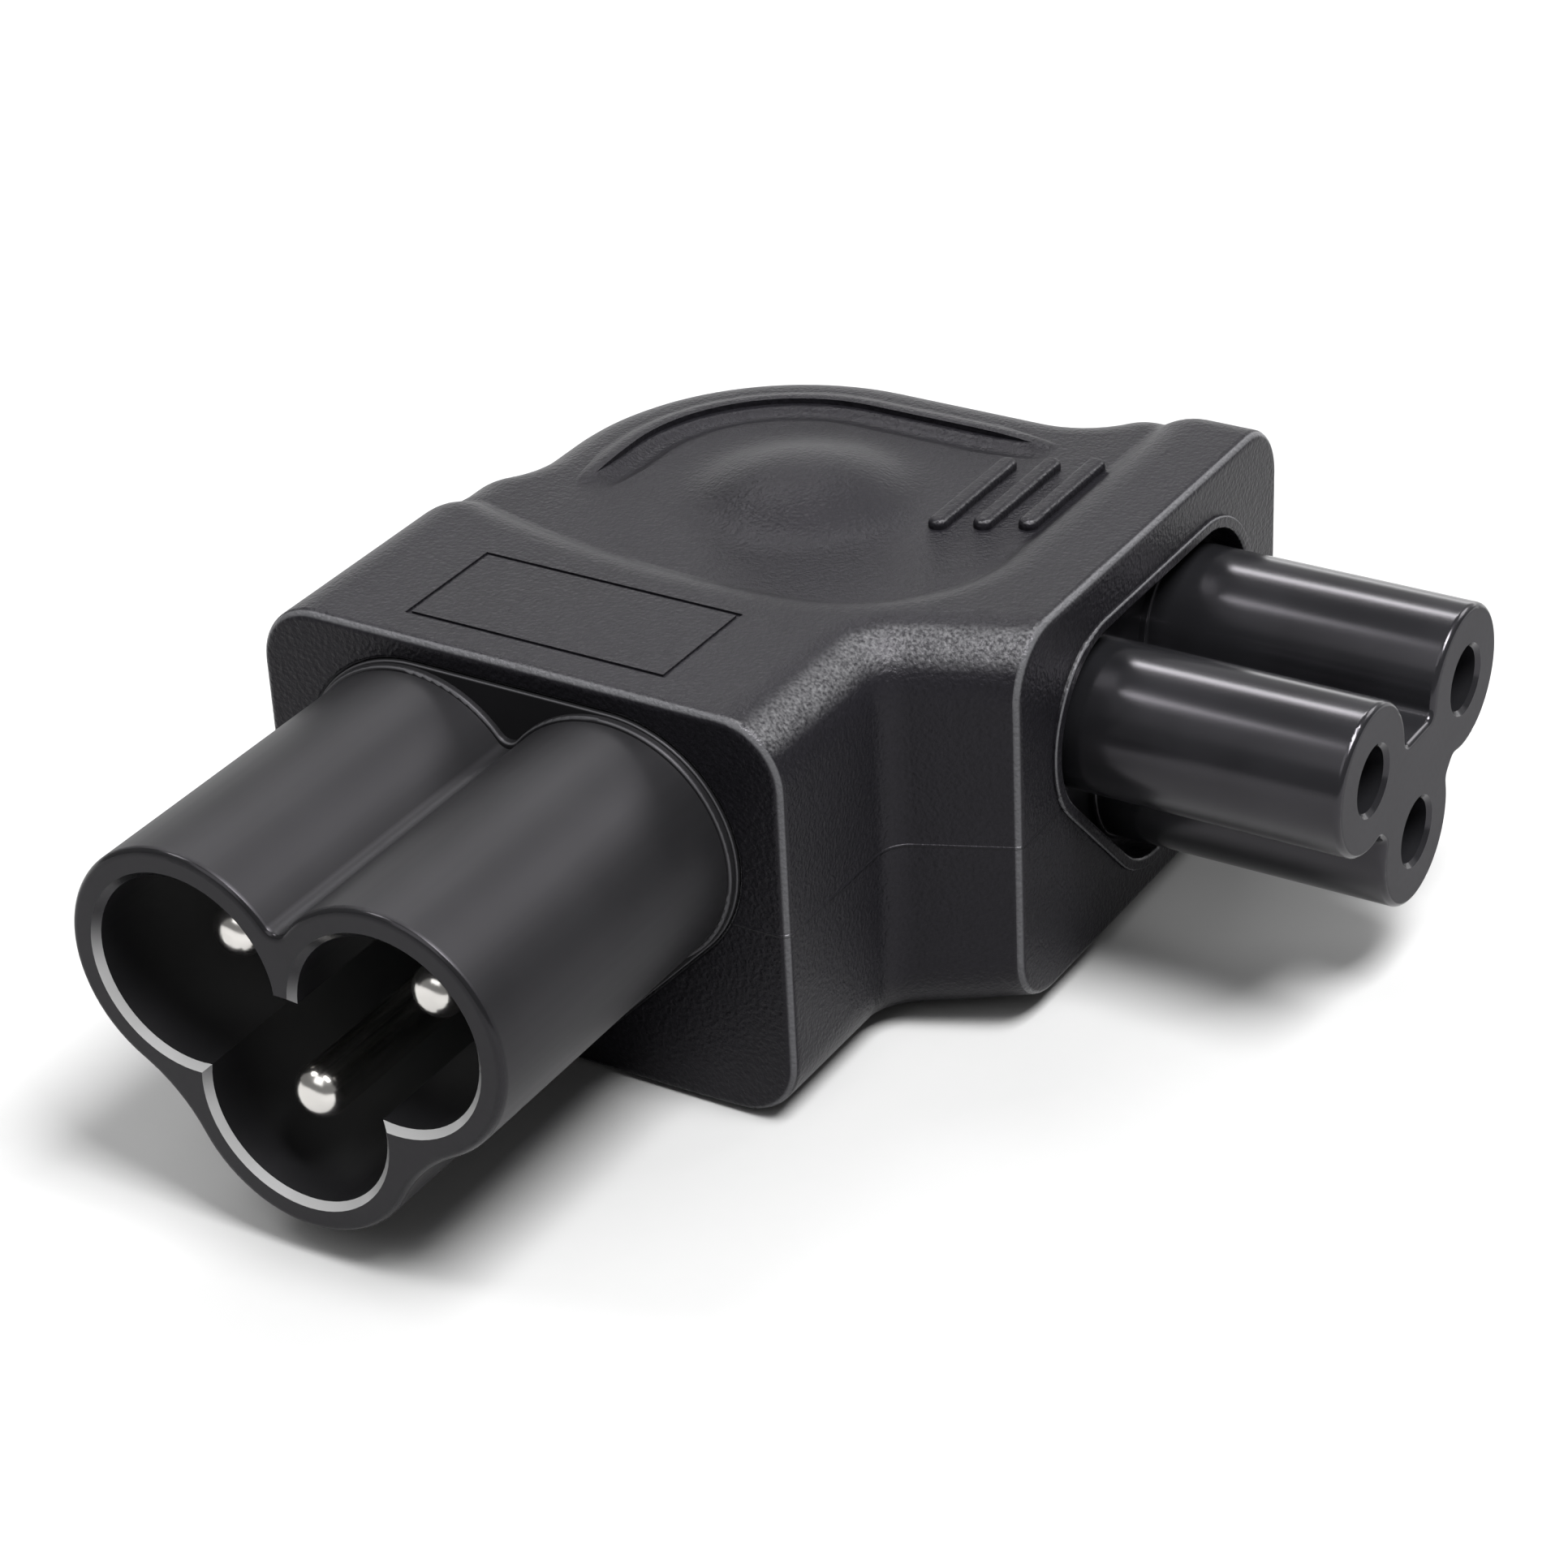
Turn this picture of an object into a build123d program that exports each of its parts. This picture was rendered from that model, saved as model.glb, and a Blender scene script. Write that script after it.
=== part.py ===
from build123d import *
from math import acos, asin, atan2, copysign, cos, degrees, radians, sin, sqrt, tan
import os

# A right-angle mains adapter: an L-shaped moulded body with a three-pin cloverleaf inlet on one leg
# and a three-hole cloverleaf outlet nose on the other, with the pins, contacts and wires inside it.
# +Z is up and the underside lies on Z = 0. The inlet faces -Y and the outlet faces +X, and their
# middle lines cross above the origin. Millimetres.

# Pin pattern, the same on the inlet and the outlet
pin_pitch = 10.0  # line pin to neutral pin
earth_drop = 5.2  # earth pin below the other two
pin_radius = 1.2

# Inlet shroud
shroud_length = 17.1  # from the inlet face
shroud_radius = 5.75
shroud_wall = 1.35
shroud_notch = 0.6  # rounding in the top notch
shroud_flank = 7.0  # rounding in the two lower notches
shroud_edge = 0.35
cavity_depth = 14.5
cavity_chamfer = 0.3
key_gap = 0.1  # key's end above the pins' line
seat_gap = 0.3  # from the shroud to the edge of its seat
flange_proud = 0.15  # its flange beyond the inlet face
flange_round = 0.1
inlet_base = 7.15  # thickness of the flange
foot_width = 0.18  # bead round the shroud, on the flange
foot_height = 0.35
foot_round = 0.15
seat_round = 0.2

# Outlet nose
nose_length = 12.9  # from the outlet face
nose_radius = 3.5
nose_web = 1.6  # half thickness of the web between the lobes
nose_crotch = 0.5  # rounding between the web and the lobes
nose_edge = 0.3
slot_sink = 0.2  # slot floor below the holes' line
nose_margin = 0.8  # from the nose to the edge of its seat
outlet_recess = 1.5
outlet_base = 4.0
nose_foot = 0.2  # bead round the nose, on its base
nose_foot_height = 0.4
nose_foot_round = 0.15
outlet_rim = 0.6  # raised rim round the nose's seat
outlet_rim_height = 0.2
outlet_rim_round = 0.15
entry_radius = 1.5
entry_depth = 2.5
entry_chamfer = 0.2

# Moulded body, outside
seat_margin = 1.15  # above and below the inlet's seat
inlet_margin = 2.25  # beside the inlet's seat
outlet_margin = 3.5  # beside the outlet's seat
inlet_reach = 23.6  # inlet face from the outlet axis
inner_run = 5.3  # outlet face from the inlet leg's inner wall
inner_slant = 23.0  # degrees that the outlet leg's inner wall leans to the inlet
inner_radius = 1.6  # hollow of the inner corner
side_step = 1.5  # outer corner's wall in from the inlet collar
back_step = 2.4  # outer corner's wall in from the outlet collar
corner_radius = 12.5  # outer corner, seen from above
flare_concave = 3.0  # hollow between a collar and the outer corner
underside_flat = 7.0  # how far the level underside reaches towards the outlet
underside_lift = 1.0  # how far it has risen at the outlet face
outer_round = 3.0  # long edges on the outer side
inner_round = 3.0  # long edges on the inner side
round_margin = 0.3  # bends that a rounded edge goes over are wider than its rounding by this
face_round = 0.45  # edges of both end faces

# Lowered top of the corner, with its thumb pad, rim, groove and grip ribs
inlet_land = 9.15  # flat top behind the inlet face
outlet_land = 2.85  # flat top behind the outlet face
land_bow = 45.0  # bow of the inlet land's edge
land_apex = 3.0  # where that bow comes nearest to the inlet face
land_corner = 9.3  # bend between the two lands' edges
top_drop = 0.7
ramp_foot = 0.8  # rounding at the foot of the ramp
flare_margin = 0.2  # level stretch between the ramp's foot and the flare
pad_centre = (2.1, -2.8)
pad_radius = 6.5
pad_height = 1.4
pad_skirt = 6.0  # hollow rounding round the pad
rim_inset = 4.2  # rim from the outer walls
rim_width = 1.1  # half width
rim_height = 0.3
rim_foot = 1.0
groove_inset = 5.45
groove_width = 1.0  # half width
groove_depth = 0.25
groove_lip = 1.0
straight_side = 0.6  # rim and groove along the side wall, before they fade
straight_back = 5.8  # and along the back wall
tail_run = 4.0
rib_count = 3
rib_first = (9.4, 0.05)  # middle of the rib nearest the pad
rib_step = (1.83, 0.85)
rib_length = 7.4
rib_width = 0.9
rib_height = 0.45
rib_round = 0.3

# Frame line engraved on the inlet's land
plate_width = 13.3
plate_depth = 6.3
plate_margin = 1.9  # from the inlet face
plate_line = 0.22
plate_sink = 0.1

# Pins, contacts and wires
pin_shank = 1.5  # radius of the stretch that the shroud's flange and the body hold
pin_setback = 3.0  # tips of the line and neutral pins behind the shroud's rim
earth_lead = 2.0  # earth pin ahead of the other two
pin_tip = 0.95
tail_length = 3.2  # pin and contact tails behind their bases
tail_radius = 1.22
cup_depth = 2.4
contact_clearance = 0.02
contact_wall = 0.38
contact_bore_depth = 12.0
slit_width = 0.4
slit_length = 9.0
conductor_radius = 0.5
insulation_radius = 1.1
strip_length = 0.7  # bare conductor between a tail and the insulation
wire_bend = 3.8  # innermost wire

# Worked-out places
half_pitch = pin_pitch / 2
seat_radius = shroud_radius + seat_gap
nose_seat_radius = nose_radius + nose_margin
earth_height = seat_margin + seat_radius
pin_height = earth_height + earth_drop
body_height = pin_height + seat_radius + seat_margin
half_inlet = half_pitch + seat_radius + inlet_margin
half_outlet = half_pitch + nose_seat_radius + outlet_margin
outlet_reach = half_inlet + inner_run
waist_side = half_inlet - side_step
waist_back = half_outlet - back_step
lobes = [(-half_pitch, pin_height), (half_pitch, pin_height), (0, earth_height)]
wires = {"line": lobes[0], "neutral": lobes[1], "earth": lobes[2]}
bend_over = outer_round + round_margin
ramp_turn = acos(1 - top_drop / (bend_over + ramp_foot))
ramp_length = (bend_over + ramp_foot) * sin(ramp_turn)
floor_height = body_height - top_drop
inlet_front = -inlet_reach - shroud_length
inlet_floor = inlet_front + cavity_depth
inlet_seat = -inlet_reach - flange_proud
inlet_back = inlet_seat + inlet_base
outlet_front = outlet_reach + nose_length
outlet_seat = outlet_reach - outlet_recess
outlet_back = outlet_seat - outlet_base
contact_front = outlet_front - entry_depth
contact_bore = pin_radius + contact_clearance
contact_radius = contact_bore + contact_wall
pin_tail = inlet_back + tail_length
contact_tail = outlet_back - tail_length
bend_centre = half_pitch + wire_bend
slant = radians(inner_slant)
panel_run = inner_run - inner_radius + inner_radius * sin(slant)
hollow_start = -half_outlet - panel_run * tan(slant) - inner_radius * cos(slant)
lift_radius = ((outlet_reach - underside_flat) ** 2 + underside_lift ** 2) / (2 * underside_lift)
lift_turn = degrees(asin((outlet_reach + underside_lift - underside_flat) / lift_radius))
land_side = outlet_reach - outlet_land
bow_centre = (land_apex, -inlet_reach + inlet_land + land_bow)
corner_x = land_side - land_corner
corner_y = bow_centre[1] - sqrt((land_bow - land_corner) ** 2 - (corner_x - land_apex) ** 2)
bow_start = -degrees(acos((-half_inlet - ramp_length - land_apex) / land_bow))
bow_end = degrees(atan2(corner_y - bow_centre[1], corner_x - land_apex))
beyond = inlet_reach + outlet_reach  # past every wall
flat = 0.01  # slope or height difference that counts as none
steep = 0.9  # slope above which an edge counts as upright


def inlet_plane(y):
    """Plane across the inlet axis that faces out of the inlet, with its own Y upwards."""
    return Plane(origin=(0, y, 0), x_dir=(1, 0, 0), z_dir=(0, -1, 0))


def outlet_plane(x):
    """Plane across the outlet axis that faces out of the outlet, with its own Y upwards."""
    return Plane(origin=(x, 0, 0), x_dir=(0, 1, 0), z_dir=(1, 0, 0))


def clover(radius):
    """Three round lobes on the pin pattern."""
    with Locations(*lobes):
        Circle(radius)


def clover_hull(radius):
    """Rounded triangle round the three lobes."""
    make_hull([Edge.make_circle(radius, Plane((x, y, 0))) for x, y in lobes])


def round_notches(outline):
    """Round the notch at the top of a clover outline and the two below its upper lobes."""
    middle = outline.vertices().filter_by(lambda v: abs(v.X) < half_pitch / 2)
    fillet(middle.sort_by(Axis.Y)[-1], shroud_notch)
    fillet(outline.vertices().sort_by(Axis.Y)[:2], shroud_flank)


def nose_section(outline, grow):
    """Draw the nose's section, wider by grow all round: lobes on a web cut off between the upper two."""
    clover_hull(nose_web + grow)
    with Locations((0, pin_height - slot_sink + grow)):
        Rectangle(beyond, beyond, align=(Align.CENTER, Align.MIN), mode=Mode.SUBTRACT)
    clover(nose_radius + grow)
    fillet(outline.vertices(), nose_crotch)


def flare(step):
    """Turn and length of the S-bend that steps a wall sideways by this much."""
    turn = acos(1 - step / (bend_over + flare_concave))
    return degrees(turn), (bend_over + flare_concave) * sin(turn)


def land_edge(inset):
    """Edge of the lowered top moved inwards: bowed along one land, round the bend, along the other land."""
    bow = CenterArc(bow_centre, land_bow - inset, bow_start, bow_end - bow_start)
    CenterArc((corner_x, corner_y), land_corner - inset, bow_end, -bow_end)
    Line((land_side - inset, corner_y), (land_side - inset, beyond))
    return bow @ 0


def s_curve(width, height, foot):
    """Arcs from a level crest on the middle line to a level foot; a negative height turns them over."""
    turn = 2 * atan2(abs(height), width)
    crest = width / sin(turn) - foot
    side = copysign(1, height)
    top = RadiusArc((0, height), (crest * sin(turn), height * foot / (crest + foot)), side * crest)
    return RadiusArc(top @ 1, (width, 0), -side * foot)


def corner_line(inset, height, fade):
    """Path at this inset from the outer walls, whose two ends bend up or down by the fade."""
    x = inset - waist_side
    y = waist_back - inset
    radius = corner_radius - inset
    side = Line((x, y - radius - straight_side, height), (x, y - radius, height))
    CenterArc((x + radius, y - radius, height), radius, 180, -90)
    back = Line((x + radius, y, height), (x + radius + straight_back, y, height))
    TangentArc(side @ 0, side @ 0 + Vector(0, -tail_run, fade), tangent=(0, -1, 0))
    TangentArc(back @ 1, back @ 1 + Vector(tail_run, 0, fade), tangent=(1, 0, 0))


def on_inner_side(face):
    """Whether a wall is inside the bend of the L."""
    return face.center().X > half_pitch and face.center().Y < -half_pitch


def on_outer_side(face):
    """Whether a wall is outside the bend of the L, and is neither end face."""
    is_inlet_face = face.center().Y < -inlet_reach + face_round
    is_outlet_face = face.center().X > outlet_reach - face_round
    return not (on_inner_side(face) or is_inlet_face or is_outlet_face)


def long_edges(piece, side):
    """Top and bottom edges of the upright walls on one side."""
    walls = piece.faces().filter_by(lambda f: abs(f.normal_at().Z) < flat).filter_by(side)
    return walls.edges().filter_by(lambda e: abs((e % 0.5).Z) < steep)


def write(piece, name):
    """Label a finished piece and write its file."""
    piece.part.label = name
    export_step(piece.part, f"parts/{name}.step")


os.makedirs("parts", exist_ok=True)

# Inlet shroud: a cloverleaf tube with a key in its top notch, on a bead and a flange that the body holds
with BuildPart() as inlet_shroud:
    with BuildSketch(inlet_plane(inlet_back)):
        clover_hull(seat_radius)
    extrude(amount=inlet_base)
    fillet(inlet_shroud.faces().sort_by(Axis.Y)[0].edges(), flange_round)
    with BuildSketch(inlet_plane(inlet_seat)) as foot_outline:
        clover(shroud_radius + foot_width)
        round_notches(foot_outline)
    extrude(amount=foot_height)
    fillet(inlet_shroud.faces().sort_by(Axis.Y)[0].edges(), foot_round)
    with BuildSketch(inlet_plane(inlet_seat)) as shroud_outline:
        clover(shroud_radius)
        round_notches(shroud_outline)
    extrude(amount=inlet_seat - inlet_front)
    fillet(inlet_shroud.faces().sort_by(Axis.Y)[0].edges(), shroud_edge)
    with BuildSketch(inlet_plane(inlet_front)):
        clover(shroud_radius - shroud_wall)
        with Locations((0, earth_height)):
            Rectangle(half_pitch, earth_drop + key_gap, align=(Align.CENTER, Align.MIN))
    extrude(amount=-cavity_depth, mode=Mode.SUBTRACT)
    chamfer(inlet_shroud.faces().sort_by(Axis.Y)[0].inner_wires().edges(), cavity_chamfer)
    with BuildSketch(inlet_plane(inlet_floor)):
        clover(pin_shank)
    extrude(amount=inlet_floor - inlet_back, mode=Mode.SUBTRACT)
write(inlet_shroud, "inlet_shroud")

# Outlet nose: three lobes on a web, each with a contact bore and a wider entry hole
with BuildPart() as outlet_nose:
    with BuildSketch(outlet_plane(outlet_back)):
        clover_hull(nose_seat_radius)
    extrude(amount=outlet_base)
    with BuildSketch(outlet_plane(outlet_seat)) as nose_foot_outline:
        nose_section(nose_foot_outline, nose_foot)
    extrude(amount=nose_foot_height)
    fillet(outlet_nose.faces().sort_by(Axis.X)[-1].edges(), nose_foot_round)
    with BuildSketch(outlet_plane(outlet_seat)) as nose_outline:
        nose_section(nose_outline, 0)
    extrude(amount=outlet_front - outlet_seat)
    fillet(outlet_nose.faces().sort_by(Axis.X)[-1].edges(), nose_edge)
    with BuildSketch(outlet_plane(outlet_front)):
        clover(entry_radius)
    extrude(amount=-entry_depth, mode=Mode.SUBTRACT)
    chamfer(outlet_nose.faces().sort_by(Axis.X)[-1].inner_wires().edges(), entry_chamfer)
    with BuildSketch(outlet_plane(contact_front)):
        clover(contact_radius)
    extrude(amount=outlet_back - contact_front, mode=Mode.SUBTRACT)
write(outlet_nose, "outlet_nose")

# One pin, one contact and one insulated wire for each of line, neutral and earth
buried = []
for wire, (across, height) in wires.items():
    tip = inlet_front + pin_setback
    if wire == "earth":
        tip -= earth_lead
    with BuildPart() as pin:
        with BuildSketch(inlet_plane(pin_tail)):
            with Locations((across, height)):
                Circle(pin_shank)
        extrude(amount=pin_tail - inlet_floor)
        with BuildSketch(inlet_plane(inlet_floor)):
            with Locations((across, height)):
                Circle(pin_radius)
        extrude(amount=inlet_floor - tip)
        fillet(pin.faces().sort_by(Axis.Y)[0].edges(), pin_tip)
        with BuildSketch(inlet_plane(pin_tail)):
            with Locations((across, height)):
                Circle(conductor_radius)
        extrude(amount=cup_depth, mode=Mode.SUBTRACT)
    write(pin, f"{wire}_pin")

    with BuildPart() as contact:
        with BuildSketch(outlet_plane(contact_tail)):
            with Locations((-across, height)):
                Circle(tail_radius)
        extrude(amount=tail_length)
        with BuildSketch(outlet_plane(outlet_back)):
            with Locations((-across, height)):
                Circle(contact_radius)
        extrude(amount=contact_front - outlet_back)
        with BuildSketch(outlet_plane(contact_front)):
            with Locations((-across, height)):
                Circle(contact_bore)
        extrude(amount=-contact_bore_depth, mode=Mode.SUBTRACT)
        with BuildSketch(outlet_plane(contact_front)):
            with Locations((-across, height)):
                Rectangle(slit_width, 2 * contact_radius)
        extrude(amount=-slit_length, mode=Mode.SUBTRACT)
        with BuildSketch(outlet_plane(contact_tail)):
            with Locations((-across, height)):
                Circle(conductor_radius)
        extrude(amount=cup_depth, mode=Mode.SUBTRACT)
    write(contact, f"{wire}_contact")

    with BuildPart() as conductor:
        with BuildLine(Plane.XY.offset(height)) as conductor_path:
            Line((across, pin_tail - cup_depth), (across, -bend_centre))
            CenterArc((bend_centre, -bend_centre), bend_centre - across, 180, -90)
            Line((bend_centre, -across), (contact_tail + cup_depth, -across))
        with BuildSketch(inlet_plane(pin_tail - cup_depth)):
            with Locations((across, height)):
                Circle(conductor_radius)
        sweep(path=conductor_path.line)
    write(conductor, f"{wire}_conductor")

    with BuildPart() as insulation:
        with BuildLine(Plane.XY.offset(height)) as insulation_path:
            Line((across, pin_tail + strip_length), (across, -bend_centre))
            CenterArc((bend_centre, -bend_centre), bend_centre - across, 180, -90)
            Line((bend_centre, -across), (contact_tail - strip_length, -across))
        with BuildSketch(inlet_plane(pin_tail + strip_length)):
            with Locations((across, height)):
                Circle(insulation_radius)
                Circle(conductor_radius, mode=Mode.SUBTRACT)
        sweep(path=insulation_path.line)
    write(insulation, f"{wire}_insulation")
    buried += [pin.part, contact.part, conductor.part, insulation.part]

# Lowered top: what is cut away above the corner's floor and above the S-shaped ramp round it
with BuildPart() as lowered_top:
    with BuildSketch(Plane.XY.offset(floor_height)):
        with BuildLine():
            bow_foot = land_edge(ramp_length)
            Polyline((land_side - ramp_length, beyond), (-beyond, beyond), (-beyond, bow_foot.Y), bow_foot)
        make_face()
    extrude(amount=body_height)
    with BuildLine(Plane.XY.offset(floor_height)) as ramp_path:
        ramp_start = land_edge(0)
    inwards = (bow_centre[0] - ramp_start.X, bow_centre[1] - ramp_start.Y, 0)
    with BuildSketch(Plane(origin=ramp_path.line @ 0, x_dir=inwards, z_dir=ramp_path.line % 0)):
        with BuildLine():
            ramp = s_curve(ramp_length, top_drop, ramp_foot)
            Polyline(ramp @ 1, (ramp_length + ramp_foot, 0), (ramp_length + ramp_foot, body_height),
                     (0, body_height), (0, top_drop))
        make_face()
    sweep(path=ramp_path.line)

# Body: one moulding round everything above
with BuildPart() as body:
    with BuildSketch():
        with BuildLine():
            back_turn = flare(back_step)[0]
            side_turn, side_length = flare(side_step)
            back_end = land_side - ramp_length - flare_margin
            side_end = bow_foot.Y + flare_margin
            Polyline((-half_inlet, side_end), (-half_inlet, -inlet_reach), (half_inlet, -inlet_reach),
                     (half_inlet, hollow_start))
            hollow = JernArc((half_inlet, hollow_start), (0, 1), inner_radius, inner_slant - 90)
            Polyline(hollow @ 1, (outlet_reach, -half_outlet), (outlet_reach, half_outlet),
                     (back_end, half_outlet))
            back_bulge = JernArc((back_end, half_outlet), (-1, 0), bend_over, back_turn)
            back_hollow = JernArc(back_bulge @ 1, back_bulge % 1, flare_concave, -back_turn)
            back_wall = Line(back_hollow @ 1, (corner_radius - waist_side, waist_back))
            corner = JernArc(back_wall @ 1, (-1, 0), corner_radius, 90)
            side_wall = Line(corner @ 1, (-waist_side, side_end + side_length))
            side_hollow = JernArc(side_wall @ 1, (0, -1), flare_concave, -side_turn)
            JernArc(side_hollow @ 1, side_hollow % 1, bend_over, side_turn)
        make_face()
    extrude(amount=body_height)
    with BuildSketch(inlet_plane(0)):
        with BuildLine():
            lift = CenterArc((underside_flat, lift_radius), lift_radius, -90, lift_turn)
            Polyline(lift @ 1, (beyond, -underside_lift), (underside_flat, -underside_lift), lift @ 0)
        make_face()
    extrude(amount=beyond, both=True, mode=Mode.SUBTRACT)
    fillet(long_edges(body, on_inner_side), inner_round)
    add(lowered_top.part, mode=Mode.SUBTRACT)
    fillet(long_edges(body, on_outer_side), outer_round)
    fillet(body.faces().sort_by(Axis.Y)[0].edges(), face_round)
    fillet(body.faces().sort_by(Axis.X)[-1].edges(), face_round)

    # Rim along the outer walls, and a groove beside it, both fading at their ends
    with BuildLine() as rim_path:
        corner_line(rim_inset, floor_height, -rim_height)
    with BuildSketch(Plane(origin=rim_path.line @ 0, x_dir=(-1, 0, 0), z_dir=rim_path.line % 0)):
        with BuildLine():
            rim = s_curve(rim_width, rim_height, rim_foot)
            Polyline(rim @ 1, (rim_width, -top_drop), (0, -top_drop))
            mirror(about=Plane.YZ)
        make_face()
    sweep(path=rim_path.line)
    with BuildLine() as groove_path:
        corner_line(groove_inset, floor_height, groove_depth)
    with BuildSketch(Plane(origin=groove_path.line @ 0, x_dir=(-1, 0, 0), z_dir=groove_path.line % 0)):
        with BuildLine():
            groove = s_curve(groove_width, -groove_depth, groove_lip)
            Polyline(groove @ 1, (groove_width, top_drop), (0, top_drop))
            mirror(about=Plane.YZ)
        make_face()
    sweep(path=groove_path.line, mode=Mode.SUBTRACT)

    # Thumb pad: a shallow dome with a hollow skirt
    with BuildSketch(Plane(origin=(*pad_centre, floor_height), x_dir=(1, 0, 0), z_dir=(0, -1, 0))):
        with BuildLine():
            pad = s_curve(pad_radius, pad_height, pad_skirt)
            Polyline(pad @ 1, (pad_radius, -pad_height), (0, -pad_height), (0, pad_height))
        make_face()
    revolve(axis=Axis((*pad_centre, 0), (0, 0, 1)))

    # Grip ribs
    rib_places = [(rib_first[0] + n * rib_step[0], rib_first[1] + n * rib_step[1]) for n in range(rib_count)]
    with BuildSketch(Plane.XY.offset(floor_height)):
        with Locations(*rib_places):
            SlotOverall(rib_length, rib_width, rotation=90)
    extrude(amount=rib_height)
    rib_tops = body.faces().filter_by(lambda f: abs(f.center().Z - floor_height - rib_height) < flat)
    fillet(rib_tops.filter_by(GeomType.PLANE).edges(), rib_round)

    # Engraved frame line
    with BuildSketch(Plane.XY.offset(body_height)):
        with Locations((0, -inlet_reach + plate_margin + plate_depth / 2)):
            Rectangle(plate_width, plate_depth)
            Rectangle(plate_width - 2 * plate_line, plate_depth - 2 * plate_line, mode=Mode.SUBTRACT)
    extrude(amount=-plate_sink, mode=Mode.SUBTRACT)

    # Seats of the shroud and the nose, and the room that the pins, contacts and wires take up
    with BuildSketch(inlet_plane(-inlet_reach)):
        clover_hull(seat_radius)
    extrude(amount=flange_proud - inlet_base, mode=Mode.SUBTRACT)
    fillet(body.faces().sort_by(Axis.Y)[0].inner_wires().edges(), seat_round)
    with BuildSketch(outlet_plane(outlet_reach)):
        clover_hull(nose_seat_radius + outlet_rim)
    extrude(amount=outlet_rim_height)
    with BuildSketch(outlet_plane(outlet_reach + outlet_rim_height)):
        clover_hull(nose_seat_radius)
    extrude(amount=outlet_back - outlet_reach - outlet_rim_height, mode=Mode.SUBTRACT)
    fillet(body.faces().sort_by(Axis.X)[-1].edges(), outlet_rim_round)
    for piece in buried:
        add(piece, mode=Mode.SUBTRACT)
write(body, "body")
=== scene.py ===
import math
from typing import NamedTuple

import bpy
import numpy as np
from mathutils import Matrix, Vector


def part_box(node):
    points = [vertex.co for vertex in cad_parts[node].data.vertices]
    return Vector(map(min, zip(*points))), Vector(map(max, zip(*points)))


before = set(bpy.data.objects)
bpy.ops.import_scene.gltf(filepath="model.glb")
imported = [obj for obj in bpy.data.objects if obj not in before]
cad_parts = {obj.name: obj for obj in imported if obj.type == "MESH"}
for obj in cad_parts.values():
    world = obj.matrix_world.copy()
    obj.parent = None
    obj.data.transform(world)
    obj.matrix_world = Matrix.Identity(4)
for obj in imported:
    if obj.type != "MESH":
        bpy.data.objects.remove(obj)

bl_info = {
    "name": "Right-angle mains adapter",
    "version": (1, 0, 0),
    "blender": (4, 5, 0),
    "location": "View3D > Sidebar > Adapter",
    "description": "Dresses the packed right-angle mains adapter: plastics, plated pins, seam, stage",
    "category": "Object",
}


class Marks(NamedTuple):
    """A noise, as a finish uses it."""

    scale: float  # grains to the metre
    detail: float = 2.0  # octaves
    lay: tuple = (1.0, 1.0, 1.0)  # shares of the scale along X, Y and Z; a small one draws the grains out
    spread: float = 0.0  # how far it moves the roughness, from its lowest to its highest


class Softbox(NamedTuple):
    """A rectangular light: place, target, width and height in metres, power in watts."""

    name: str
    place: tuple
    target: tuple
    width: float
    height: float
    power: float


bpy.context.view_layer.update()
WIRES = ("line", "neutral", "earth")
MM = 0.001

# Faces and holes that the finishes follow
INLET_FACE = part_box("body")[0].y
OUTLET_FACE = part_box("body")[1].x  # at the rim round the nose
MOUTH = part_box("inlet_shroud")[0].y
NOSE_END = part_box("outlet_nose")[1].x
LOBES = [sum(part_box(f"{wire}_pin"), Vector()) / 2 for wire in WIRES]  # a pin stands in the middle of each
CAVITY = 4.85 * MM  # just beyond the wall of a lobe's cavity
EDGE = 0.6 * MM  # how far behind an end face its painted edge highlight and smoother edge reach
SEAM_HEIGHT = 9.7 * MM  # the mould's parting line on the body
SEAM_WIDTH = 0.1 * MM

# Smooth steps by place: where each starts and where it is full
BEND = (20 * MM, 24 * MM)  # X less Y, on the inner bend between the two end faces
RIB_SIDE = (8.2 * MM, 8.6 * MM)  # X, where the grip ribs are
RIB_FOOT = (18.95 * MM, 19.1 * MM)  # Z, just above the foot of the ribs
DEEP = (MOUTH + 1 * MM, MOUTH + 8 * MM)  # Y, into the shroud's cavity, where its inside gets painted light
NOSE_FLAT = (NOSE_END - 0.2 * MM, NOSE_END - 0.1 * MM)  # X, at the nose's end face

# Smooth steps by how far the surface faces along a direction
BEND_TURN = (0.12, 0.45)  # towards the inner corner, on the bend
RIB_TURN = (0.35, 0.6)  # towards the inner corner, on the ribs
NO_WALL = (0.45, 0.75)  # upwards; leaves out the walls
NO_LEVEL = (0.99, 0.92)  # upwards; leaves out the level top
EDGE_TURN = (0.35, 0.55)  # the way an end face looks; leaves out the walls behind it
NO_FACE = (0.95, 0.8)  # the same way; leaves out the end face itself
LIP_TURN = (-0.3, 0.2)  # upwards, on the lower edge of the shroud's cavity, which gets a painted highlight
END_TURN = (0.9, 0.99)  # along X, on the nose's end face

# Smooth steps by a noise
MIDDLE_TONES = (0.3, 0.7)
TARNISH_TONES = (0.35, 0.75)
STRAND_TONES = (0.35, 0.7)
# how the grain speckles the painted highlight on the bend and the ribs
HIGHLIGHT_GRAIN = (0.2, 0.867)

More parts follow.
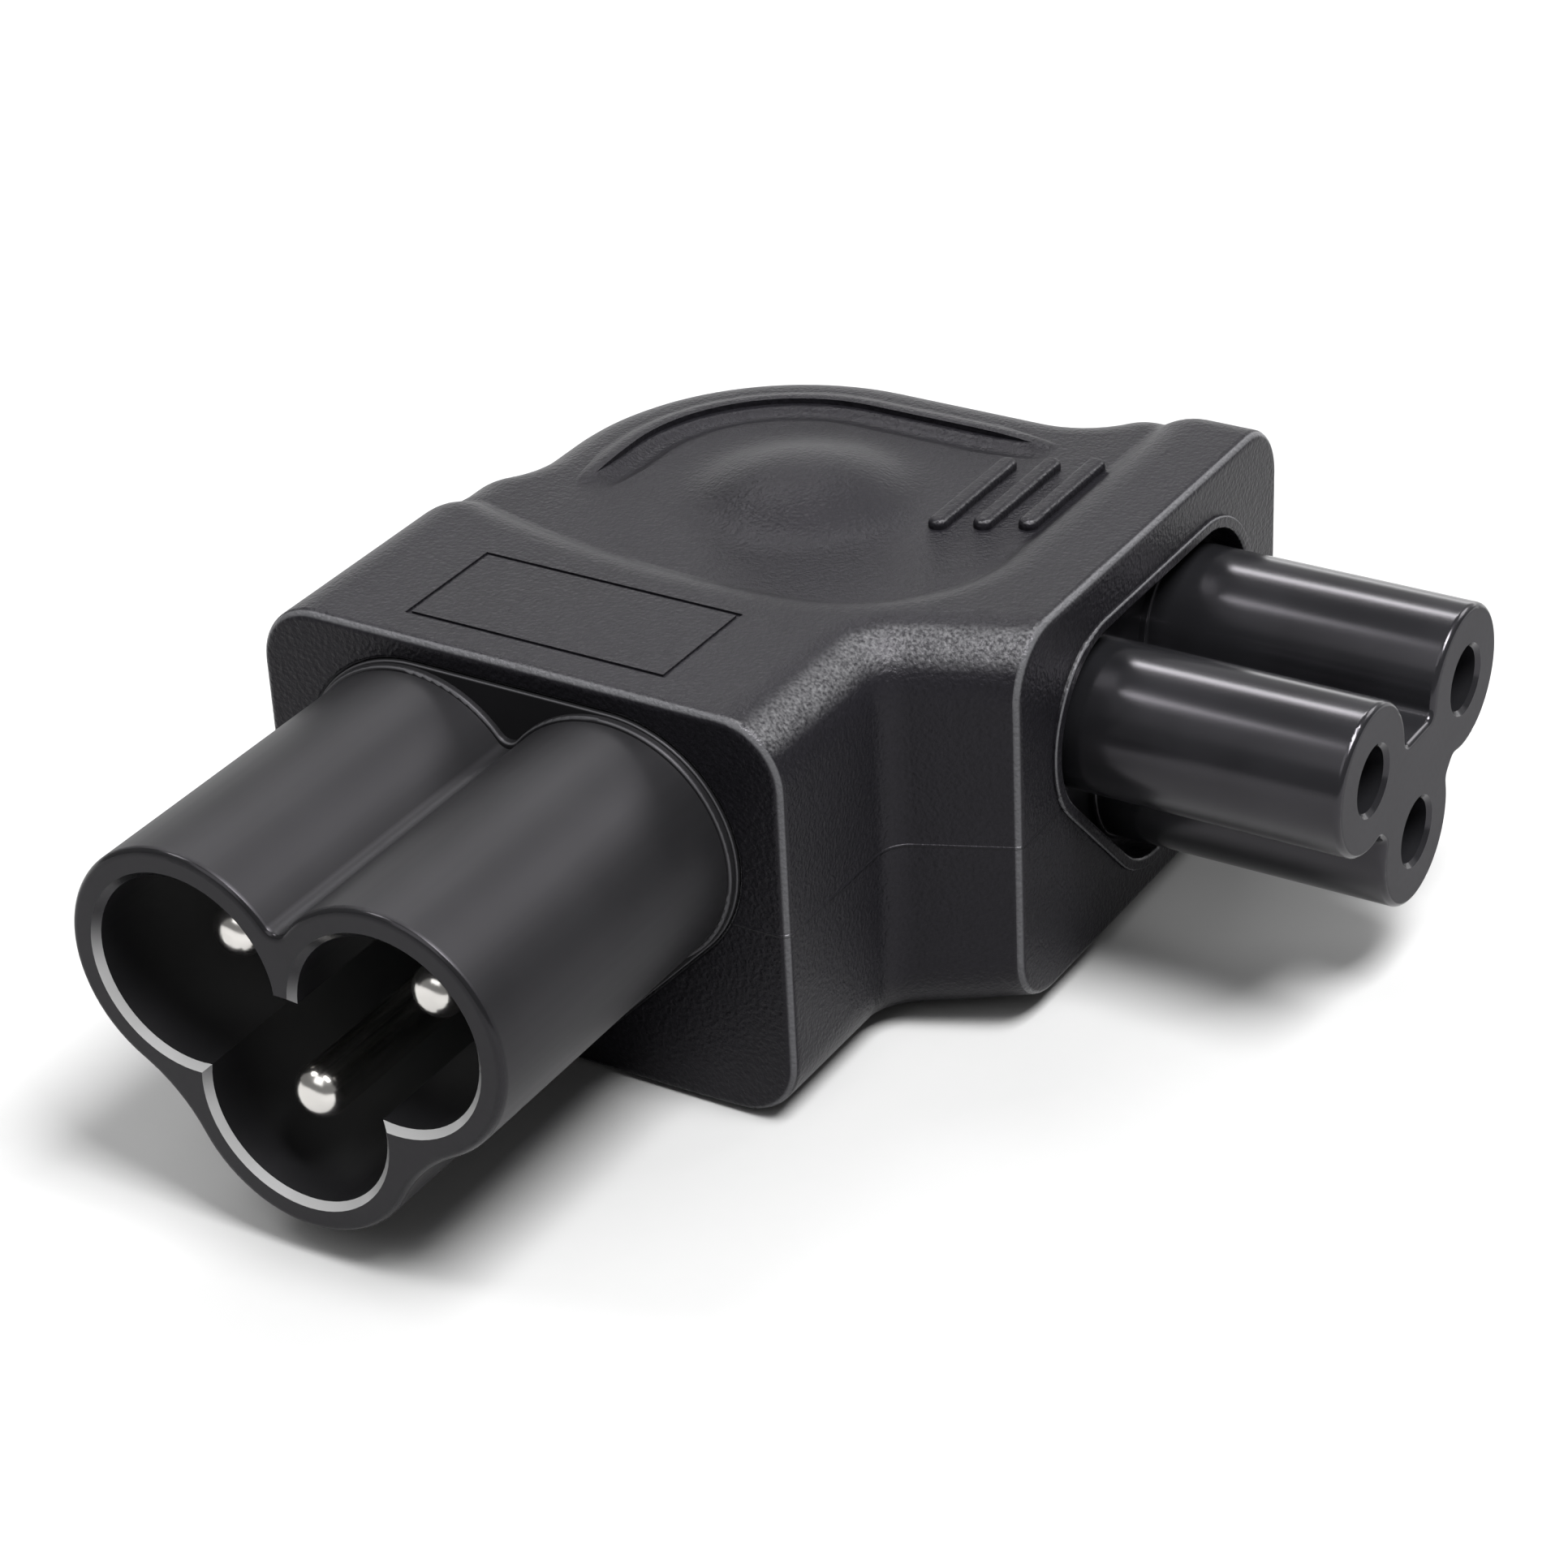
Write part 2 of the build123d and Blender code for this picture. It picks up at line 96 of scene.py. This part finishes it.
FLOW_MARKS = Marks(120.0, detail=3.0, spread=0.12)
SHROUD_DRAW = Marks(2600.0, lay=(1.0, 0.03, 1.0), spread=0.08)
SHROUD_CLOUD = Marks(160.0, spread=0.04)
NOSE_RUB = Marks(3200.0, lay=(0.04, 1.0, 1.0), spread=0.06)
NOSE_CLOUD = Marks(220.0, spread=0.02)
PIN_TURNING = Marks(5200.0, lay=(0.06, 1.0, 0.06), spread=0.1)
PIN_CLOUD = Marks(420.0, spread=0.05)
BRASS_DRAW = Marks(4200.0, lay=(0.05, 1.0, 1.0), spread=0.12)
BRASS_TARNISH = Marks(360.0, detail=3.0, spread=0.1)
COPPER_STRAND = Marks(3000.0, spread=0.2)
SLEEVE_CLOUD = Marks(700.0, detail=3.0, spread=0.12)
PAPER_FIBRE = Marks(900.0, spread=0.05)

# Shares of its own colour that a noise takes each finish between
BODY_SHADES = (0.75, 1.3)
SHROUD_SHADES = (0.85, 1.2)
NOSE_SHADES = (0.8, 1.25)
PLATING_SHADES = (0.86, 1.0)
BRASS_SHADES = (1.0, 0.7)
COPPER_SHADES = (0.65, 1.0)
SLEEVE_SHADES = (0.75, 1.0)
PAPER_SHADE = 0.985
FLOW_SHARE = 0.4  # of the body's shades; its grain gives the rest
BEAD_HIGHLIGHT_SHARE = 0.5  # how pale the painted highlight on the bead at the shroud's foot is, against that on an end face's edge
EDGE_POLISH = 0.15  # how much smoother an end face's edge is
MOUTH_POLISH = 0.3

# The body's texture
GRAIN_DETAIL = 3.0  # octaves
PITS_TO_GRAIN = 0.6  # pits along a length, for each grain
PIT_RELIEF = 0.5  # height against the grain's
SEAM_RELIEF = 1.5

# Shares of a band, an edge and a circle that are full
BAND_CORE = 0.3
EDGE_CORE = 0.7
CIRCLE_CORE = 0.95

# Depths of the marks
SHROUD_DEPTH = 0.004 * MM
NOSE_DEPTH = 0.0012 * MM
METAL_DEPTH = 0.002 * MM
WIRE_DEPTH = 0.01 * MM

STUDIO_MIDDLE = (0.0, 0.0, 0.01)
LIGHTS = (
    Softbox("back_panel", (-0.10, 0.80, 0.38), STUDIO_MIDDLE, 1.8, 0.52, 1.2),
    Softbox("low_panel", (-0.35, 0.85, 0.09), STUDIO_MIDDLE, 1.6, 0.16, 1.9),
    Softbox("strip_light", (-0.26, 0.24, 0.46), (0.01, 0.0, 0.015), 0.5, 0.06, 1.7),
    Softbox("top_softbox", (0.25, -0.07, 0.58), STUDIO_MIDDLE, 0.25, 0.25, 8.0),
    Softbox("right_softbox", (0.26, 0.58, 0.48), STUDIO_MIDDLE, 0.35, 0.3, 2.0),
    Softbox("front_softbox", (0.0, -0.44, 0.50), (0.0, -0.03, 0.01), 0.4, 0.4, 0.9),
    Softbox("left_softbox", (-0.27, -0.18, 0.50), (0.03, 0.0, 0.012), 0.14, 0.14, 0.7),
)
WHITE = (1.0, 1.0, 1.0, 1.0)
SENSOR = 36.0  # the camera's sensor width in millimetres
NEAR_CLIP = 0.01
FLOOR_GAP = 0.05 * MM  # the floor lies this far below the adapter


class Value:
    """A shader socket. Arithmetic on it adds Math nodes to the finish it belongs to."""

    def __init__(self, finish, socket):
        self.finish = finish
        self.socket = socket

    def __add__(self, other):
        return self.finish.math("ADD", self, other)

    def __radd__(self, other):
        return self.finish.math("ADD", other, self)

    def __sub__(self, other):
        return self.finish.math("SUBTRACT", self, other)

    def __rsub__(self, other):
        return self.finish.math("SUBTRACT", other, self)

    def __mul__(self, other):
        return self.finish.math("MULTIPLY", self, other)

    def __rmul__(self, other):
        return self.finish.math("MULTIPLY", other, self)

    def step(self, low, high):
        """Smooth step from 0 at low to 1 at high."""
        return self.finish.node("ShaderNodeMapRange", {"interpolation_type": "SMOOTHSTEP"},
                                {"Value": self, "From Min": low, "From Max": high})


class Noise(Value):
    """A fractal noise about 0.5."""

    def __init__(self, finish, socket, spread):
        super().__init__(finish, socket)
        self.spread = spread

    def change(self):
        """Its change of the roughness, about 0."""
        return (self - 0.5) * self.spread


class Finish:
    """A procedural material on one Principled shader, read in the object's own coordinates."""

    def __init__(self, name):
        self.material = bpy.data.materials.new(name)
        self.material.use_nodes = True
        self.tree = self.material.node_tree
        self.shader = self.tree.nodes["Principled BSDF"]
        self.place = self.node("ShaderNodeTexCoord", {}, {}, "Object")

    def node(self, kind, settings, sockets, output=0):
        """Add any node: its settings first, then the values or links of its sockets; gives one output."""
        made = self.tree.nodes.new(kind)
        for key, setting in settings.items():
            setattr(made, key, setting)
        for key, value in sockets.items():
            self.feed(made.inputs[key], value)
        return Value(self, made.outputs[output])

    def feed(self, socket, value):
        """Link a Value to a socket, or set the socket to a plain number, colour or vector."""
        if isinstance(value, Value):
            self.tree.links.new(value.socket, socket)
        else:
            socket.default_value = value

    def math(self, operation, first, second):
        """One Math node on two values or numbers."""
        return self.node("ShaderNodeMath", {"operation": operation}, {0: first, 1: second})

    def larger(self, first, second):
        """The larger of two values."""
        return self.math("MAXIMUM", first, second)

    def noise(self, marks):
        """Fractal noise about 0.5, made from its marks."""
        place = self.node("ShaderNodeMapping", {}, {"Vector": self.place, "Scale": marks.lay})
        sockets = {"Vector": place, "Scale": marks.scale, "Detail": marks.detail}
        return Noise(self, self.node("ShaderNodeTexNoise", {}, sockets).socket, marks.spread)

    def cells(self, scale):
        """Distance from the middle of a random cell, this many cells to the metre."""
        return self.node("ShaderNodeTexVoronoi", {"feature": "F1"}, {"Vector": self.place, "Scale": scale})

    def mix(self, factor, first, second):
        """Colour between two colours."""
        sockets = {"Factor": factor, "A": first, "B": second}
        made = self.tree.nodes.new("ShaderNodeMix")
        made.data_type = "RGBA"
        for socket in made.inputs:
            if socket.name in sockets and socket.enabled:
                self.feed(socket, sockets[socket.name])
        return Value(self, next(s for s in made.outputs if s.enabled))

    def shades(self, noise, colour, shares, tones=MIDDLE_TONES):
        """Colour that a noise takes from one share of itself to another."""
        first, second = shares
        return self.mix(noise.step(*tones), shade(colour, first), shade(colour, second))

    def along(self, axis):
        """The object's own X, Y or Z coordinate in metres."""
        return self.node("ShaderNodeSeparateXYZ", {}, {"Vector": self.place}, axis)

    def facing(self, axis):
        """How far the surface faces along the object's own X, Y or Z axis."""
        normal = self.node("ShaderNodeTexCoord", {}, {}, "Normal")
        return self.node("ShaderNodeSeparateXYZ", {}, {"Vector": normal}, axis)

    def band(self, value, middle, half):
        """1 where a value is near its middle, falling to 0 this far on either side."""
        away = self.math("ABSOLUTE", value - middle, 0.0)
        return away.step(half, BAND_CORE * half)

    def within(self, middle, radius):
        """1 inside a tube along Y round this point, falling to 0 at its wall."""
        across = self.along("X") - middle.x
        above = self.along("Z") - middle.z
        return (across * across + above * above).step(radius ** 2, CIRCLE_CORE * radius ** 2)

    def worn_and_highlit(self, axis, sign, face):
        """1 on the rounded edges of an end face that looks along an axis this way, 0 on flat faces; the
        finishes paint highlights on these edges and make some of them smoother.
        """
        behind = (face - self.along(axis)) * sign
        turn = self.facing(axis) * sign
        return behind.step(EDGE, EDGE_CORE * EDGE) * turn.step(*EDGE_TURN) * turn.step(*NO_FACE)

    def bump(self, height, depth):
        """Normal of a surface raised by this height times a depth in metres."""
        return self.node("ShaderNodeBump", {}, {"Height": height, "Distance": depth})

    def set(self, **inputs):
        """Feed the shader's sockets, named with underscores for spaces."""
        for name, value in inputs.items():
            self.feed(self.shader.inputs[name.replace("_", " ")], value)

    def dress(self, *nodes):
        """Put this material on CAD nodes."""
        for node in nodes:
            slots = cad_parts[node].data.materials
            slots.clear()
            slots.append(self.material)


def shade(colour, share=1.0):
    """A share of a property's colour, as four channels."""
    return (*(share * channel for channel in colour), 1.0)


def colour_property(name, description, default):
    return bpy.props.FloatVectorProperty(name=name, description=description, default=default, size=3,
                                         min=0.0, max=1.0, subtype="COLOR")


def length_property(name, description, default):
    return bpy.props.FloatProperty(name=name, description=description, default=default, min=0.0,
                                   precision=5, subtype="DISTANCE", unit="LENGTH")


def share_property(name, description, default):
    return bpy.props.FloatProperty(name=name, description=description, default=default, min=0.0, max=1.0,
                                   subtype="FACTOR")


def angle_property(name, description, degrees):
    return bpy.props.FloatProperty(name=name, description=description, default=math.radians(degrees),
                                   subtype="ANGLE", unit="ROTATION")


class PlasticSettings(bpy.types.PropertyGroup):
    """Colours and finishes of the three mouldings, with their painted highlights and the painted light in the
    shroud's cavities.
    """

    sheen: colour_property("Sheen", "Tint of the black plastic's reflections", (0.96, 0.92, 1.0))
    body_colour: colour_property("Body", "Colour of the moulded body", (0.0066, 0.0063, 0.0078))
    # painted highlight on the rounded edges of both end faces, and in part on the bead at the shroud's foot
    edge_highlight_colour: colour_property("Edge highlight", "Painted highlight on the edges of both end faces", (0.07, 0.07, 0.074))
    # painted highlight on the upper rounding of the inner bend and on the ribs, speckled by the grain
    bend_highlight_colour: colour_property("Bend highlight", "Painted highlight on the bend and the ribs, speckled by the grain",
                                   (0.11, 0.11, 0.113))
    body_roughness: share_property("Body roughness", "Roughness of the moulded body", 0.38)
    body_gloss: share_property("Body gloss", "Strength of the moulded body's reflections", 0.17)
    body_grain: length_property("Body grain", "Width of one grain of the body's eroded texture", 0.16 * MM)
    body_depth: length_property("Body grain depth", "Depth of the body's texture", 0.045 * MM)
    shroud_colour: colour_property("Shroud", "Colour of the inlet shroud", (0.007, 0.007, 0.0075))
    # painted highlight on the upward-facing lower edge of each cavity's mouth
    lip_highlight_colour: colour_property("Cavity lip highlight", "Painted highlight on the cavity's lower edge", (0.3, 0.3, 0.3))
    # painted light: the inside deep in each cavity is paler than the black moulding
    cavity_painted_light: colour_property("Cavity", "Painted light deep in the shroud's cavity", (0.08, 0.08, 0.08))
    shroud_roughness: share_property("Shroud roughness", "Roughness of the inlet shroud", 0.48)
    shroud_gloss: share_property("Shroud gloss", "Strength of the inlet shroud's reflections", 0.28)
    nose_colour: colour_property("Nose", "Colour of the outlet nose", (0.008, 0.008, 0.009))
    nose_roughness: share_property("Nose roughness", "Roughness of the outlet nose", 0.2)
    nose_gloss: share_property("Nose gloss", "Strength of the outlet nose's reflections", 0.44)
    end_roughness: share_property("Nose end", "How much rougher the nose's end face is", 0.45)


class MetalSettings(bpy.types.PropertyGroup):
    """Colours and finishes of the pins, contacts and wires."""

    plating: colour_property("Plating", "Nickel plating of the pins", (0.74, 0.72, 0.69))
    plating_roughness: share_property("Plating roughness", "Roughness of the pins", 0.215)
    brass: colour_property("Brass", "Brass of the contacts", (0.76, 0.56, 0.26))
    brass_roughness: share_property("Brass roughness", "Roughness of the contacts", 0.31)
    copper: colour_property("Copper", "Copper of the conductors", (0.82, 0.43, 0.26))
    copper_roughness: share_property("Copper roughness", "Roughness of the conductors", 0.35)
    line: colour_property("Line", "Line wire's insulation", (0.14, 0.05, 0.02))
    neutral: colour_property("Neutral", "Neutral wire's insulation", (0.02, 0.09, 0.42))
    earth: colour_property("Earth", "Earth wire's insulation", (0.05, 0.28, 0.06))
    sleeve_roughness: share_property("Insulation roughness", "Roughness of the wires' insulation", 0.44)


class StudioSettings(bpy.types.PropertyGroup):
    """Camera, floor and air."""

    azimuth: angle_property("Azimuth", "Camera's turn from the -Y axis towards +X", 32.36)
    elevation: angle_property("Elevation", "Camera's height above the level", 30.236)
    roll: angle_property("Roll", "Camera's turn about its own axis", -2.897)
    distance: length_property("Distance", "Camera to its target", 0.203475)
    target: bpy.props.FloatVectorProperty(name="Target", description="Point that the camera looks at", size=3,
                                          default=(-1.475 * MM, 0.0, 0.98 * MM), precision=5, subtype="XYZ",
                                          unit="LENGTH")
    lens: bpy.props.FloatProperty(name="Lens", description="Focal length in millimetres on a 36 mm sensor",
                                  default=96.03, min=1.0)
    air: bpy.props.FloatProperty(name="Air", description="Strength of the light from all round", default=0.22,
                                 min=0.0)
    floor_colour: colour_property("Floor", "Colour of the floor", (0.42, 0.42, 0.42))
    floor_roughness: share_property("Floor roughness", "Roughness of the floor", 0.925)
    floor_width: length_property("Floor width", "Half of the floor's width", 3.0)
    floor_depth: length_property("Floor depth", "Half of the floor's depth", 2.0)
    floor_rise: length_property("Floor rise", "Height of the wall behind", 2.0)
    floor_bend: length_property("Floor bend", "Radius between the floor and the wall", 0.8)


def settings(context):
    """The three groups of settings."""
    scene = context.scene
    return scene.adapter_plastic, scene.adapter_metal, scene.adapter_studio


class ADAPTER_OT_body(bpy.types.Operator):
    """Finish the moulded body in eroded matt black, with its seam and painted highlights on the end faces'
    edges, the inner bend and the ribs
    """

    bl_idname = "adapter.body"
    bl_label = "Body finish"

    def execute(self, context):
        plastic, _, _ = settings(context)
        finish = Finish("moulded_matt_black")
        grain = finish.noise(Marks(1 / plastic.body_grain, GRAIN_DETAIL))
        pits = finish.cells(PITS_TO_GRAIN / plastic.body_grain)
        flow = finish.noise(FLOW_MARKS)
        seam = finish.band(finish.along("Z"), SEAM_HEIGHT, SEAM_WIDTH)
        # Painted highlight: the rounded edges of both end faces are paler; the same mask makes them smoother.
        wear_and_highlight = finish.larger(finish.worn_and_highlit("Y", -1.0, INLET_FACE), finish.worn_and_highlit("X", 1.0, OUTLET_FACE))

        # Painted highlight: a paler band, speckled by the grain, on the upper rounding of the inner bend and
        # on the ribs' faces that look towards it.
        inwards = math.sqrt(0.5) * (finish.facing("X") - finish.facing("Y"))
        upwards = finish.facing("Z")
        bend = (finish.along("X") - finish.along("Y")).step(*BEND) * inwards.step(*BEND_TURN)
        ribs = finish.along("X").step(*RIB_SIDE) * finish.along("Z").step(*RIB_FOOT) * inwards.step(*RIB_TURN)
        highlight_area = finish.larger(bend, ribs) * upwards.step(*NO_WALL) * upwards.step(*NO_LEVEL)

        tone = (1 - FLOW_SHARE) * grain + FLOW_SHARE * flow
        plain = finish.shades(tone, plastic.body_colour, BODY_SHADES)
        # Painted highlights: the bend and the ribs first, then the end faces' edges.
        bend_highlit = finish.mix(highlight_area * grain.step(*HIGHLIGHT_GRAIN), plain, shade(plastic.bend_highlight_colour))
        finish.set(Base_Color=finish.mix(wear_and_highlight, bend_highlit, shade(plastic.edge_highlight_colour)),
                   Roughness=plastic.body_roughness + flow.change() - EDGE_POLISH * wear_and_highlight,
                   Specular_IOR_Level=plastic.body_gloss, Specular_Tint=shade(plastic.sheen),
                   Normal=finish.bump(grain + PIT_RELIEF * pits + SEAM_RELIEF * seam, plastic.body_depth))
        finish.dress("body")
        return {"FINISHED"}


class ADAPTER_OT_shroud(bpy.types.Operator):
    """Finish the inlet shroud in satin black with faint draw marks along it, painted highlights on its
    cavities' lower edges and on the bead at its foot, and painted light deep in its cavities
    """

    bl_idname = "adapter.shroud"
    bl_label = "Shroud finish"

    def execute(self, context):
        plastic, _, _ = settings(context)
        finish = Finish("satin_black")
        draw = finish.noise(SHROUD_DRAW)
        cloud = finish.noise(SHROUD_CLOUD)
        inside = 0.0
        for lobe in LOBES:
            inside = finish.larger(inside, finish.within(lobe, CAVITY))
        # Painted highlight: a pale line on the upward-facing lower edge of each cavity's mouth.
        mouth = finish.worn_and_highlit("Y", -1.0, MOUTH)
        lip = mouth * inside * finish.facing("Z").step(*LIP_TURN)
        # Painted light: deep in each cavity the inside gets a paler colour than the black moulding.
        deep = finish.along("Y").step(*DEEP) * inside
        # Painted highlight: a pale line on the bead at the shroud's foot, just in front of the inlet face.
        beside = finish.along("Y").step(INLET_FACE - 2 * EDGE, INLET_FACE - EDGE)
        bead = beside * finish.worn_and_highlit("Y", -1.0, INLET_FACE)

        plain = finish.shades(cloud, plastic.shroud_colour, SHROUD_SHADES)
        # Painted highlights on the foot bead and the cavities' lips, then painted light deep in the cavities.
        bead_highlit = finish.mix(BEAD_HIGHLIGHT_SHARE * bead, plain, shade(plastic.edge_highlight_colour))
        lip_highlit = finish.mix(lip, bead_highlit, shade(plastic.lip_highlight_colour))
        satin = plastic.shroud_roughness + draw.change() + cloud.change()
        finish.set(Base_Color=finish.mix(deep, lip_highlit, shade(plastic.cavity_painted_light)),
                   Roughness=satin - MOUTH_POLISH * mouth,
                   Specular_IOR_Level=plastic.shroud_gloss, Specular_Tint=shade(plastic.sheen),
                   Normal=finish.bump(draw, SHROUD_DEPTH))
        finish.dress("inlet_shroud")
        return {"FINISHED"}


class ADAPTER_OT_nose(bpy.types.Operator):
    """Finish the outlet nose in polished black with fine rubbing marks and a dull end face"""

    bl_idname = "adapter.nose"
    bl_label = "Nose finish"

    def execute(self, context):
        plastic, _, _ = settings(context)
        finish = Finish("polished_black")
        rub = finish.noise(NOSE_RUB)
        cloud = finish.noise(NOSE_CLOUD)
        end = finish.along("X").step(*NOSE_FLAT) * finish.facing("X").step(*END_TURN)
        polish = plastic.nose_roughness + rub.change() + cloud.change()
        finish.set(Base_Color=finish.shades(cloud, plastic.nose_colour, NOSE_SHADES),
                   Roughness=polish + plastic.end_roughness * end,
                   Specular_IOR_Level=plastic.nose_gloss, Specular_Tint=shade(plastic.sheen),
                   Normal=finish.bump(rub, NOSE_DEPTH))
        finish.dress("outlet_nose")
        return {"FINISHED"}


class ADAPTER_OT_pins(bpy.types.Operator):
    """Plate the three pins with nickel, with turning marks round them"""

    bl_idname = "adapter.pins"
    bl_label = "Pin plating"

    def execute(self, context):
        _, metal, _ = settings(context)
        finish = Finish("nickel_plating")
        turning = finish.noise(PIN_TURNING)
        cloud = finish.noise(PIN_CLOUD)
        finish.set(Base_Color=finish.shades(cloud, metal.plating, PLATING_SHADES), Metallic=1.0,
                   Roughness=metal.plating_roughness + turning.change() + cloud.change(),
                   Normal=finish.bump(turning, METAL_DEPTH))
        finish.dress(*(f"{wire}_pin" for wire in WIRES))
        return {"FINISHED"}


class ADAPTER_OT_contacts(bpy.types.Operator):
    """Give the contacts drawn brass"""

    bl_idname = "adapter.contacts"
    bl_label = "Contact brass"

    def execute(self, context):
        _, metal, _ = settings(context)
        finish = Finish("drawn_brass")
        draw = finish.noise(BRASS_DRAW)
        tarnish = finish.noise(BRASS_TARNISH)
        finish.set(Base_Color=finish.shades(tarnish, metal.brass, BRASS_SHADES, TARNISH_TONES), Metallic=1.0,
                   Roughness=metal.brass_roughness + draw.change() + tarnish.change(),
                   Normal=finish.bump(draw, METAL_DEPTH))
        finish.dress(*(f"{wire}_contact" for wire in WIRES))
        return {"FINISHED"}


class ADAPTER_OT_wires(bpy.types.Operator):
    """Give the conductors stranded copper and each insulation its own colour"""

    bl_idname = "adapter.wires"
    bl_label = "Wires"

    def execute(self, context):
        _, metal, _ = settings(context)
        copper = Finish("bare_copper")
        strand = copper.noise(COPPER_STRAND)
        copper.set(Base_Color=copper.shades(strand, metal.copper, COPPER_SHADES, STRAND_TONES), Metallic=1.0,
                   Roughness=metal.copper_roughness + strand.change(),
                   Normal=copper.bump(strand, WIRE_DEPTH))
        copper.dress(*(f"{wire}_conductor" for wire in WIRES))
        for wire in WIRES:
            sleeve = Finish(f"{wire}_sleeve")
            cloud = sleeve.noise(SLEEVE_CLOUD)
            sleeve.set(Base_Color=sleeve.shades(cloud, getattr(metal, wire), SLEEVE_SHADES),
                       Roughness=metal.sleeve_roughness + cloud.change(),
                       Normal=sleeve.bump(cloud, WIRE_DEPTH))
            sleeve.dress(f"{wire}_insulation")
        return {"FINISHED"}


def sweep_floor(width, depth, rise, radius, turn_points=25, level_points=8, across_points=9):
    """Studio floor: a level strip from front to back that turns up through a quarter circle into a wall.

    One line of points runs along Y, round the circle and up Z, and is carried straight across along X.
    """
    turn = np.linspace(0.0, np.pi / 2, turn_points)[1:]
    foot = depth - radius
    level = np.append(-depth, np.linspace(-depth / 2, foot, level_points))
    y = np.concatenate((level, foot + radius * np.sin(turn), [depth]))
    z = np.concatenate((0 * level, radius * (1 - np.cos(turn)), [rise]))
    x = np.linspace(-width, width, across_points)
    return np.stack(np.broadcast_arrays(x[None, :], y[:, None], z[:, None]), axis=-1)


def grid_mesh(name, grid):
    """Mesh of quads on a grid of points, rows first.

    A face looks along the step between its columns crossed with the step between its rows.
    """
    rows, columns, _ = grid.shape
    index = np.arange(rows * columns).reshape(rows, columns)
    quads = np.stack((index[:-1, :-1], index[:-1, 1:], index[1:, 1:], index[1:, :-1]), axis=-1).reshape(-1, 4)
    mesh = bpy.data.meshes.new(name)
    mesh.from_pydata(grid.reshape(-1, 3).tolist(), [], quads.tolist())
    mesh.polygons.foreach_set("use_smooth", np.ones(len(quads), dtype=bool))
    piece = bpy.data.objects.new(name, mesh)
    bpy.context.scene.collection.objects.link(piece)
    return piece


def hang_light(box):
    """Hang a softbox at its place, turned to its target, with its width level."""
    light = bpy.data.lights.new(box.name, "AREA")
    light.shape = "RECTANGLE"
    light.size = box.width
    light.size_y = box.height
    light.energy = box.power
    place = Vector(box.place)
    turn = (Vector(box.target) - place).to_track_quat("-Z", "Y")
    lamp = bpy.data.objects.new(box.name, light)
    lamp.matrix_world = Matrix.LocRotScale(place, turn, None)
    bpy.context.scene.collection.objects.link(lamp)


def camera_place(studio):
    """Matrix of the camera: at its distance from the target, turned to it and rolled."""
    azimuth, elevation, roll = studio.azimuth, studio.elevation, studio.roll
    back = Vector((math.sin(azimuth) * math.cos(elevation), -math.cos(azimuth) * math.cos(elevation),
                   math.sin(elevation)))
    level = Vector((0, 0, 1)).cross(back).normalized()
    upright = back.cross(level)
    right = math.cos(roll) * level + math.sin(roll) * upright
    up = math.cos(roll) * upright - math.sin(roll) * level
    turn = Matrix((right, up, back)).transposed().to_4x4()
    return Matrix.Translation(Vector(studio.target) + back * studio.distance) @ turn


class ADAPTER_OT_studio(bpy.types.Operator):
    """Lay the floor, set the soft lights and place the camera"""

    bl_idname = "adapter.studio"
    bl_label = "Studio"

    def execute(self, context):
        _, _, studio = settings(context)
        scene = context.scene
        sweep = sweep_floor(studio.floor_width, studio.floor_depth, studio.floor_rise, studio.floor_bend)
        floor = grid_mesh("studio_floor", sweep - np.array((0.0, 0.0, FLOOR_GAP)))
        paper = Finish("pale_paper")
        fibre = paper.noise(PAPER_FIBRE)
        pale = shade(studio.floor_colour)
        paper.set(Base_Color=paper.mix(fibre, pale, shade(studio.floor_colour, PAPER_SHADE)),
                  Roughness=studio.floor_roughness + fibre.change())
        floor.data.materials.append(paper.material)

        scene.world = bpy.data.worlds.new("studio_air")
        scene.world.use_nodes = True
        air = scene.world.node_tree.nodes["Background"]
        air.inputs["Color"].default_value = WHITE
        air.inputs["Strength"].default_value = studio.air
        for box in LIGHTS:
            hang_light(box)

        camera = bpy.data.cameras.new("photo_camera")
        camera.sensor_fit = "HORIZONTAL"
        camera.sensor_width = SENSOR
        camera.lens = studio.lens
        camera.clip_start = NEAR_CLIP
        view = bpy.data.objects.new("photo_camera", camera)
        view.matrix_world = camera_place(studio)
        scene.collection.objects.link(view)
        scene.camera = view
        scene.view_settings.view_transform = "Standard"
        return {"FINISHED"}


class ADAPTER_PT_sidebar(bpy.types.Panel):
    """Sidebar page with the adapter's settings and steps"""

    bl_idname = "ADAPTER_PT_sidebar"
    bl_label = "Adapter"
    bl_space_type = "VIEW_3D"
    bl_region_type = "UI"
    bl_category = "Adapter"

    def draw(self, context):
        for group in settings(context):
            column = self.layout.column(align=True)
            for name in group.__annotations__:
                column.prop(group, name)
        for step in STEPS:
            self.layout.operator(step.bl_idname)


STEPS = (ADAPTER_OT_body, ADAPTER_OT_shroud, ADAPTER_OT_nose, ADAPTER_OT_pins, ADAPTER_OT_contacts,
         ADAPTER_OT_wires, ADAPTER_OT_studio)
GROUPS = {
    "adapter_plastic": PlasticSettings,
    "adapter_metal": MetalSettings,
    "adapter_studio": StudioSettings,
}


def register():
    for name, group in GROUPS.items():
        bpy.utils.register_class(group)
        setattr(bpy.types.Scene, name, bpy.props.PointerProperty(type=group))
    for step in STEPS:
        bpy.utils.register_class(step)
    bpy.utils.register_class(ADAPTER_PT_sidebar)


def unregister():
    bpy.utils.unregister_class(ADAPTER_PT_sidebar)
    for step in reversed(STEPS):
        bpy.utils.unregister_class(step)
    for name, group in GROUPS.items():
        delattr(bpy.types.Scene, name)
        bpy.utils.unregister_class(group)


def main():
    """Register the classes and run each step."""
    register()
    for step in STEPS:
        family, name = step.bl_idname.split(".")
        getattr(getattr(bpy.ops, family), name)()


if __name__ == "__main__":
    main()
